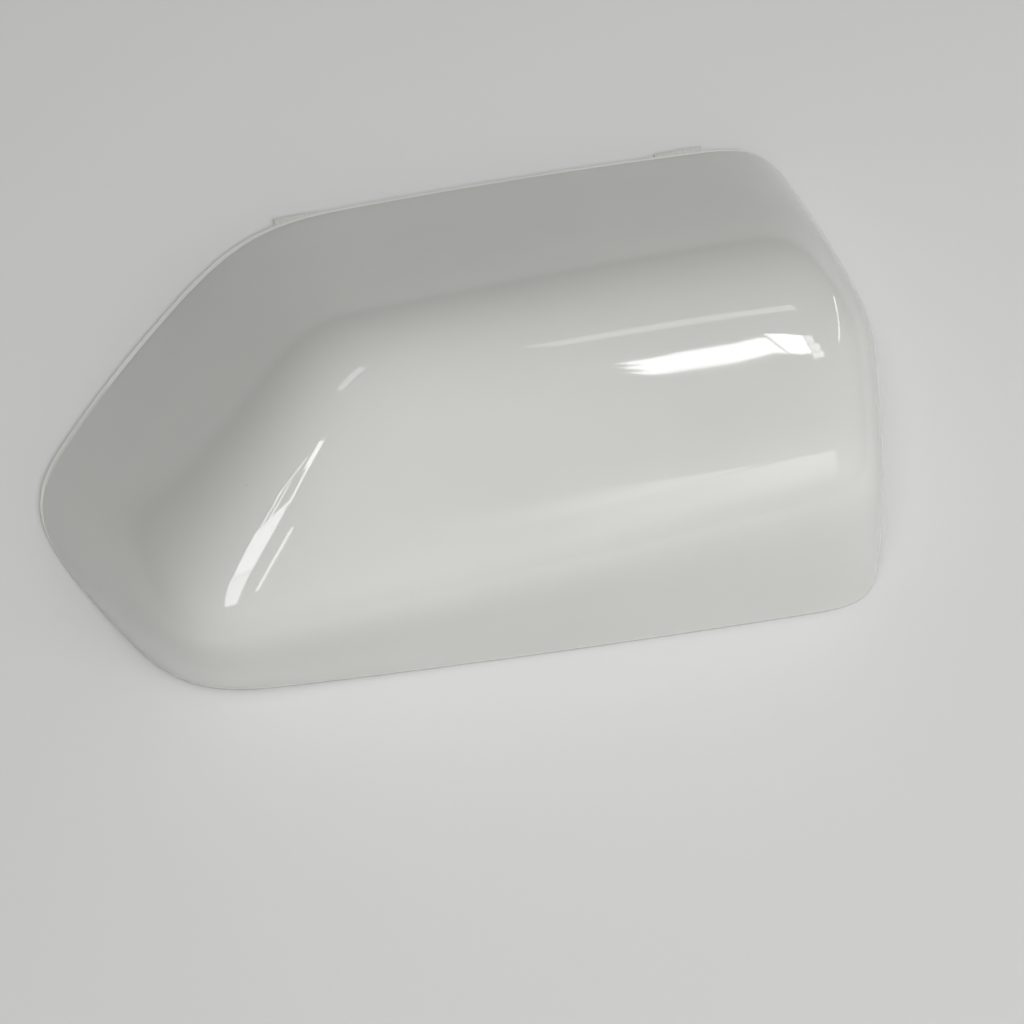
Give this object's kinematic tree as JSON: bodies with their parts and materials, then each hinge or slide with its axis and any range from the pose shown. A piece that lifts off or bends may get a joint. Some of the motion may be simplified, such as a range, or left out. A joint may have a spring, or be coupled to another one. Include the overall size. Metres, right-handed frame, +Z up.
{
  "type": "wing mirror cover",
  "caption": "Glossy white painted cap that clips over the front of a car's door mirror, hollow, with moulded hooks, tongues and locating pins inside.",
  "frame": {"origin": "middle of the footprint, on the ground that the cover lies on, open side down", "axes": "+X to the blunt outboard end, +Y to the top edge, +Z up out of the front face, forward on the car"},
  "size_m": [0.2498, 0.1588, 0.0601],
  "materials": {
    "paint": "gloss"
  },
  "bodies": {
    "root": {"mirror_cover": "paint"}
  },
  "joints": []
}
